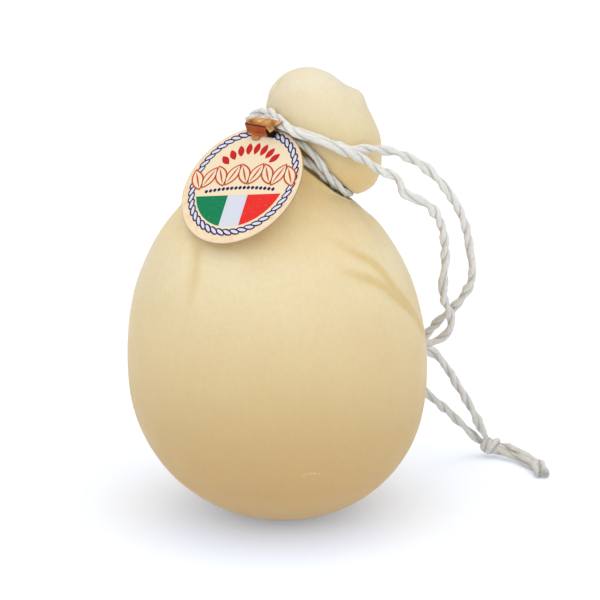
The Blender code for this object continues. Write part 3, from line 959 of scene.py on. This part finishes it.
def fray(yarn, route, seed):
    """A brush of fibres that spread a little from the cut end."""
    draw = random.Random(int(seed * 100))
    ways, normals = turned_frames(route)
    way, normal = ways[-1], normals[-1]
    across = np.cross(way, normal)
    for _ in range(FRAY_FIBRES):
        a = draw.uniform(0.0, 2.0 * math.pi)
        off = draw.uniform(*FRAY_OUT)
        out = at_angle(a, normal, across)
        start = route[-1] + out * off - way * FRAY_BACK
        lean = unit(way + out * draw.uniform(*FRAY_LEAN))
        bend = out * draw.uniform(*FRAY_BEND) - np.array([0.0, 0.0, draw.uniform(*FRAY_DROOP)])
        reach = draw.uniform(*FRAY_LENGTH)
        lay_fibre(yarn, start, lean, reach, bend, draw.uniform(*FRAY_RADIUS))


def add_yarn(name, yarn, material, node):
    made = add_piece(name, yarn.verts, yarn.faces, material, [node])
    set_attribute(made, "fibre", yarn.fibres)
    set_attribute(made, "crest", yarn.crests)
    return made


def narrowed(distance, least, length):
    """Share of the whole width at distances from an end: the least there, more further on."""
    return np.clip(least + distance / length, 0.0, 1.0)


def add_strand(tree, material, knot, name, node, table, into_knot, thin_start, length, seed):
    """A free strand, thin where it is pinched at its start and where the knot holds it."""
    route = evenly(spline(table, TABLE_STEPS), STRAND_SPACING)
    route = off_the_cheese(tree, route, TWINE / 2 + STRAND_CLEAR)
    route = fine_route([*route, *into_knot], TWINE_STEP)
    place = np.arange(len(route)) * TWINE_STEP
    widths = (TIED + (TWINE - TIED) * narrowed(place, 0.0, thin_start)) / TWINE
    widths *= narrowed(place[-1] - place, *INTO_KNOT)
    yarn = Yarn()
    lay_twine(yarn, route, TWINE, seed, widths=widths)
    stray_fibres(yarn, route, seed)
    made = add_yarn(name, yarn, material, node)


def add_tail(material, name, node, table, from_knot, length, seed):
    """A cut end of the twine: its plies lie open, and its tip is frayed."""
    route = fine_route([*from_knot, *evenly(spline(table, TAIL_STEPS), TAIL_SPACING)], TWINE_STEP)
    place = np.arange(len(route)) * TWINE_STEP
    widths = narrowed(place, *OUT_OF_KNOT) * narrowed(place[-1] - place, *CUT_END)
    yarn = Yarn()
    lay_twine(yarn, route, TAIL_WIDTH, seed, pitch=TAIL_PITCH, widths=widths)
    stray_fibres(yarn, route, seed)
    fray(yarn, route, seed)
    made = add_yarn(name, yarn, material, node)


# Knot: the doubled twine turns about itself once and a bit before its ends come out.
KNOT_TURNS = 1.35
KNOT_START = math.radians(200)
KNOT_HALF = 2.4
KNOT_BULGE = 2.5
KNOT_WIDTH = 4.4
KNOT_APART = 2.7
KNOT_STEPS, KNOT_STEP = 60, 0.4
# How it sinks in at its ends, wanders along its axis and is uneven in its reach.
KNOT_SINK, KNOT_WANDER, KNOT_UNEVEN = (-0.1, 0.25), (0.7, 0.25, 0.4), (0.25, 0.2, 7.4)


def knot_line(shift):
    """One of the two strands wrapped round the knot's axis, sunk at both of its ends."""
    start, end = (np.array(p) for p in KNOT_ENDS)
    axis = unit(end - start)
    side = unit(np.cross(axis, (0.0, 0.0, 1.0)))
    up = np.cross(side, axis)
    middle = (start + end) / 2
    line = []
    for i in range(KNOT_STEPS + 1):
        t = i / KNOT_STEPS
        angle = KNOT_START + 2.0 * math.pi * KNOT_TURNS * t
        reach = KNOT_BULGE * smooth(t, *KNOT_SINK) * smooth(1.0 - t, *KNOT_SINK)
        reach *= 1.0 + wave(KNOT_UNEVEN, t, shift)
        place = KNOT_HALF * (2.0 * t - 1.0) + shift + wave(KNOT_WANDER, t, shift)
        line.append(middle + reach * at_angle(angle, side, up) + axis * place)
    return line


def add_knot(material):
    yarn = Yarn()
    for seed, shift in ((21.0, -KNOT_APART / 2), (22.0, KNOT_APART / 2)):
        route = evenly(knot_line(shift), KNOT_STEP)
        lay_twine(yarn, route, KNOT_WIDTH, seed, pitch=TAIL_PITCH)
    return add_yarn("knot_twine", yarn, material, "twine_knot")


def add_turn(name, points, node, material, seed):
    """A turn of twine that is tied tight round the neck."""
    route = fine_route(points, TWINE_STEP, closed=True)
    yarn = Yarn()
    lay_twine(yarn, route, TIED, seed, closed=True)
    add_yarn(name, yarn, material, node)


def card_frame():
    """(across, up, out) of the card's face."""
    out = unit(CARD_NORMAL)
    up = np.array(CARD_UP)
    up = unit(up - out * up.dot(out))
    return np.cross(up, out), up, out


def on_card(x, y, proud):
    """A place on the card, across and up from its centre and out from its face."""
    across, up, out = card_frame()
    return np.array(CARD_CENTRE) + across * x + up * y + out * proud


CARD_SIDES = 160
# Profile of the card's rim from its back to its face: depth and radius.
CARD_PROFILE = (
    (-CARD_THICK, 10.0), (-CARD_THICK, 20.0), (-CARD_THICK, 26.0), (-CARD_THICK, 29.6),
    (-0.88, 30.4), (-0.80, 30.62), (-0.70, CARD_RADIUS), (-0.45, CARD_RADIUS),
    (-0.20, CARD_RADIUS), (-0.10, 30.62), (-0.02, 30.4), (0.0, 29.6), (0.0, 26.0),
    (0.0, 20.0), (0.0, 10.0),
)
# Unevenness of its rim, as how much, how fine and which layer, from where out, and how far in.
CARD_UNEVEN, CARD_WAVY, CARD_UNEVEN_FROM, CARD_INSET = 0.10, (4.0, 0.7), (28.0, 30.5), 0.05
# Where it is worn, as radii, and the depths between which it is the cut edge, painted dark, partly
# as painted shade.
CARD_WORN, CARD_CUT = (29.2, 30.4), (-0.85, -0.05)


def add_card(material):
    """The card as a turned profile with rounded edges and a slightly uneven rim."""
    verts, rims = [on_card(0.0, 0.0, -CARD_THICK)], [0.0]
    for depth, radius in CARD_PROFILE:
        cut = CARD_CUT[0] < depth < CARD_CUT[1]
        for a in circle(CARD_SIDES):
            uneven = CARD_UNEVEN * ring_drift(a, *CARD_WAVY)
            reach = radius + uneven * smooth(radius, *CARD_UNEVEN_FROM) - CARD_INSET
            verts.append(on_card(reach * math.cos(a), reach * math.sin(a), depth))
            rims.append(2.0 if cut else smooth(radius, *CARD_WORN))
    verts.append(on_card(0.0, 0.0, 0.0))
    rims.append(0.0)
    faces = tube_faces(1, len(CARD_PROFILE), CARD_SIDES)
    top = 1 + (len(CARD_PROFILE) - 1) * CARD_SIDES
    for j in range(CARD_SIDES):
        k = (j + 1) % CARD_SIDES
        faces += [(0, 1 + k, 1 + j), (top + j, top + k, len(verts) - 1)]
    made = add_piece("card_paper", verts, faces, material, ["label_card"])
    set_attribute(made, "rim", rims)


NAVY = srgb(24, 18, 84)
LAVENDER = srgb(214, 211, 222)
RED = srgb(194, 24, 24)
RUST = srgb(192, 74, 42)
GREEN = srgb(0, 122, 76)
FLAG_WHITE = srgb(207, 210, 220)
FLAG_RED = srgb(224, 42, 34)
CREAM = srgb(234, 214, 181)
INK_LIFT = 0.02
# Border: a laid cord round the print, a little above the card's centre.
BORDER_CENTRE = (0.4, 1.3)
BORDER_RADIUS = 26.2
BORDER_LAYS, GROUND_POINTS = 44, 120
LAY_HALF_LENGTH, LAY_HALF_WIDTH, LAY_LINE = 2.3, 0.74, 0.74
LAY_SLANT = math.radians(25)
LAY_TILT = 0.022
LAY_POINTS = 16
# Each lay's inks, as how far the outline is grown, the ink and its layer.
LAY_INKS = ((LAY_LINE, NAVY, 2.0), (0.0, LAVENDER, 2.4))
# Leaves of the garland across the middle, each in layers of length, width, ink and layer.
LEAVES, LEAF_SPACING = 9, 6.1
LEAF_LEANS = (math.radians(116), math.radians(64))
LEAF_INKS = ((12.6, 6.4, RUST, 5), (10.6, 4.8, CREAM, 6), (9.6, 0.9, RUST, 7))
LEAF_POINTS, LEAF_FULLNESS = 8, 0.8
GARLAND_TOP, GARLAND_SAG = 5.4, 0.0035
# Lozenges on an arc over the top, from an angle on in steps of degrees, and a row of dots.
LOZENGES, LOZENGE_START, LOZENGE_STEP, LOZENGE_ARC = 8, 137, 13.5, 17.6
LOZENGE_LONG, LOZENGE_WIDE = 6.4, 3.3
DOTS, DOT_SPACING, DOT_SIZE = 17, 2.2, 1.9
DOT_END, DOT_HEIGHT, DOT_RISE = 17.6, -3.2, 1.4
# Three upright fields at the foot: their straight top, round foot and inner edges.
FIELD_TOP, FIELD_RADIUS, FIELD_EDGE, FIELD_POINTS = -5.6, 23.4, 5.2, 14


class Print:
    """Flat inks in layers, each polygon a little above the one under it."""

    def __init__(self):
        self.verts, self.faces, self.inks = [], [], []

    def add(self, outline, ink, layer, lifts=None):
        first = len(self.verts)
        lifts = lifts or [0.0] * len(outline)
        for (x, y), lift in zip(outline, lifts):
            self.verts.append(on_card(x, y, INK_LIFT * (1 + layer) + lift))
        self.faces.append(tuple(range(first, len(self.verts))))
        self.inks += [ink] * len(outline)


def ring_place(angle, radius):
    return (
        BORDER_CENTRE[0] + radius * math.cos(angle),
        BORDER_CENTRE[1] + radius * math.sin(angle),
    )


def turned_outline(x, y, angle, places):
    """Places (along, wide) about a middle, turned by an angle."""
    cos, sin = math.cos(angle), math.sin(angle)
    return [(x + a * cos - w * sin, y + a * sin + w * cos) for a, w in places]


def leaf(x, y, length, width, angle):
    """Outline of a pointed leaf."""
    places = []
    for side in (1, -1):
        for k in range(LEAF_POINTS):
            t = k / LEAF_POINTS if side == 1 else 1 - k / LEAF_POINTS
            full = math.sin(math.pi * t) ** LEAF_FULLNESS if 0 < t < 1 else 0.0
            places.append(((t - 0.5) * length, side * width / 2 * full))
    return turned_outline(x, y, angle, places)[::-1]


def print_ground(sheet):
    """Paler round field inside the border."""
    sheet.add([ring_place(a, BORDER_RADIUS) for a in circle(GROUND_POINTS)], CREAM, 0)


def print_border(sheet):
    """Pale outlined lays all the way round, each tilted to lap over the next one's end."""
    for angle in circle(BORDER_LAYS):
        x, y = ring_place(angle, BORDER_RADIUS)
        for grown, ink, layer in LAY_INKS:
            long, wide = LAY_HALF_LENGTH + grown, LAY_HALF_WIDTH + grown
            places = [(long * math.cos(a), wide * math.sin(a)) for a in circle(LAY_POINTS)]
            outline = turned_outline(x, y, angle + math.pi / 2 - LAY_SLANT, places)
            sheet.add(outline, ink, layer, [LAY_TILT * a / LAY_HALF_LENGTH for a, _ in places])


def print_garland(sheet):
    """Outlined leaves with a midrib across the middle of the card, over its border."""
    for i in range(LEAVES):
        x = LEAF_SPACING * (i - (LEAVES - 1) / 2)
        y = GARLAND_TOP - GARLAND_SAG * x * x
        for length, width, ink, layer in LEAF_INKS:
            sheet.add(leaf(x, y, length, width, LEAF_LEANS[i % 2]), ink, layer)


def print_arc(sheet):
    """Red lozenges on an arc over the top, and navy dots on one under the garland."""
    for i in range(LOZENGES):
        a = math.radians(LOZENGE_START - LOZENGE_STEP * i)
        x, y = ring_place(a, LOZENGE_ARC)
        sheet.add(leaf(x, y, LOZENGE_LONG, LOZENGE_WIDE, a), RED, 1)
    for i in range(DOTS):
        x = DOT_SPACING * i - DOT_END
        y = DOT_HEIGHT + DOT_RISE * (1 - (x / DOT_END) ** 2)
        sheet.add(leaf(x, y, DOT_SIZE, DOT_SIZE, 0.0), NAVY, 2)


def foot(x):
    """Height of the fields' round foot at a place across the card."""
    return BORDER_CENTRE[1] - math.sqrt(max(FIELD_RADIUS**2 - x * x, 0.0))


def print_colours(sheet):
    """Three upright fields, green, white and red, under a straight top edge."""
    wide = math.sqrt(FIELD_RADIUS**2 - (FIELD_TOP - BORDER_CENTRE[1]) ** 2)
    edges = (-wide, -FIELD_EDGE, FIELD_EDGE, wide)
    for left, right, ink in zip(edges, edges[1:], (GREEN, FLAG_WHITE, FLAG_RED)):
        low = [(x, foot(x)) for x in np.linspace(left, right, FIELD_POINTS)]
        sheet.add([*low, (right, FIELD_TOP), (left, FIELD_TOP)], ink, 1)


def add_print():
    sheet = Print()
    for add_part in (print_ground, print_border, print_arc, print_colours, print_garland):
        add_part(sheet)
    made = add_piece("card_print", sheet.verts, sheet.faces, ink_finish(), (), False)
    layer = made.data.color_attributes.new("ink", "FLOAT_COLOR", "POINT")
    layer.data.foreach_set("color", np.array(sheet.inks, np.float32).ravel())


def add_clip(material):
    """The folded sheet over the card's edge, with rounded folds."""
    across, up, out = card_frame()
    along = at_angle(CLIP_TURN, across, up)
    upright = at_angle(CLIP_TURN, up, -across)
    foot_row = CLIP_ROWS[CLIP_FOOT_ROW][0]
    base = np.array(CARD_CENTRE) + up * foot_row + across * CLIP_SHIFT

    def at(x, high, proud):
        """A place across and up the clip's own front, and out from the card."""
        return base + upright * (high - foot_row) + out * proud + along * x

    # Each point's painted light: dark reflection and shade by row, and a painted highlight at a
    # few places.
    verts, folds = [], []
    for i, (high, proud, start, end) in enumerate(CLIP_ROWS):
        for c, x in enumerate(np.linspace(start, end, CLIP_COLUMNS)):
            spot = at(x, high, proud)
            if i > CLIP_FOOT_ROW:
                spot = spot + out * CLIP_DENTS * noise.noise(Vector(spot) / CLIP_DENT_SIZE)
            verts.append(spot)
            folds.append(CLIP_HIGHLIGHT_TONE if (i, c) in CLIP_PAINTED_HIGHLIGHT else CLIP_ROW_SHADE[i])
    faces = []
    for i in range(len(CLIP_ROWS) - 1):
        for c in range(CLIP_COLUMNS - 1):
            a = i * CLIP_COLUMNS + c
            faces.append((a, a + 1, a + 1 + CLIP_COLUMNS, a + CLIP_COLUMNS))
    # The side flap is painted near black as painted shade; the lip keeps the plain brass.
    for corners, tone in ((CLIP_FLAP, 1.0), (CLIP_LIP, 0.0)):
        faces.append(tuple(range(len(verts), len(verts) + len(corners))))
        verts += [at(*corner) for corner in corners]
        folds += [tone] * len(corners)
    made = add_piece("clip_sheet", verts, faces, material, ["label_clip"], False)
    set_attribute(made, "painted_light", folds)
    sheet = made.modifiers.new("sheet", "SOLIDIFY")
    sheet.thickness = CLIP_SHEET * MM
    sheet.offset = 0.0
    rounded = made.modifiers.new("rounded", "BEVEL")
    rounded.width = CLIP_ROUND * MM
    rounded.segments = CLIP_ROUND_STEPS
    rounded.angle_limit = CLIP_SHARP


# ---- studio

# A dim room that is brighter overhead, and one broad lamp.
ROOM_LOW, ROOM_HIGH = 0.44, 0.70
HORIZON, OVERHEAD = -0.1, 0.9
ROOM_TINT = (0.97, 0.98, 1.0, 1.0)
LAMP_POWER, LAMP_SPREAD = 1.85, math.radians(110)
LAMP_PLACE, LAMP_AIM = (0.03, -0.34, 1.0), (0.0, 0.0, 0.1)


def add_camera():
    data = bpy.data.cameras.new("camera")
    data.lens = CAMERA_LENS
    data.sensor_width = CAMERA_SENSOR
    made = bpy.data.objects.new("camera", data)
    back = Vector((0.0, -math.cos(CAMERA_DOWN), math.sin(CAMERA_DOWN))) * CAMERA_AWAY
    made.location = Vector(CAMERA_AIM) + back
    made.rotation_euler = (math.pi / 2 - CAMERA_DOWN, 0.0, 0.0)
    bpy.context.scene.collection.objects.link(made)
    bpy.context.scene.camera = made


def add_lamp():
    data = bpy.data.lights.new("ceiling", "SUN")
    data.energy = LAMP_POWER
    data.angle = LAMP_SPREAD
    made = bpy.data.objects.new("ceiling", data)
    away = Vector(LAMP_PLACE) - Vector(LAMP_AIM)
    made.location = LAMP_PLACE
    made.rotation_euler = away.to_track_quat("Z", "Y").to_euler()
    bpy.context.scene.collection.objects.link(made)


def add_world():
    """A dim room: bright overhead and darker towards the horizon."""
    world = bpy.data.worlds.new("studio")
    world.use_nodes = True
    tree = world.node_tree
    place = add_node(tree, "TexCoord").outputs["Generated"]
    height = add_node(tree, "SeparateXYZ", {0: place}).outputs["Z"]
    inputs = map_range(height, HORIZON, OVERHEAD, ROOM_LOW, ROOM_HIGH)
    background = tree.nodes["Background"].inputs
    put(tree, background["Color"], ROOM_TINT)
    put(tree, background["Strength"], add_node(tree, "MapRange", inputs).outputs[0])
    bpy.context.scene.world = world


def add_studio():
    add_world()
    bpy.context.scene.view_settings.view_transform = "Standard"
    add_lamp()
    bpy.ops.mesh.primitive_grid_add(
        x_subdivisions=FLOOR_SPANS, y_subdivisions=FLOOR_SPANS, size=FLOOR_SIZE
    )
    floor = bpy.context.object
    floor.name = floor.data.name = "studio_floor"
    floor.data.materials.append(floor_finish())


def main():
    add_camera()
    skin = cheese_skin()
    tree = BVHTree.FromPolygons([Vector(v) for v in skin[0]], skin[1])
    bright = twine_finish("twine_white", srgb(246, 243, 235), srgb(208, 206, 200))
    tied = twine_finish("twine_tied", srgb(240, 240, 236), srgb(206, 206, 201))
    knot = add_knot(bright)
    for strand in STRANDS:
        add_strand(tree, bright, knot, *strand)
    for tail in TAILS:
        add_tail(bright, *tail)
    add_cheese()
    lower = neck_turn(tree, LOWER_TURN)
    upper = neck_turn(tree, UPPER_TURN, lower)
    add_turn("turn_lower", lower, "neck_turn_lower", tied, 5.0)
    add_turn("turn_upper", upper, "neck_turn_upper", tied, 6.0)
    add_card(card_finish())
    add_print()
    add_clip(clip_finish())
    add_studio()


main()
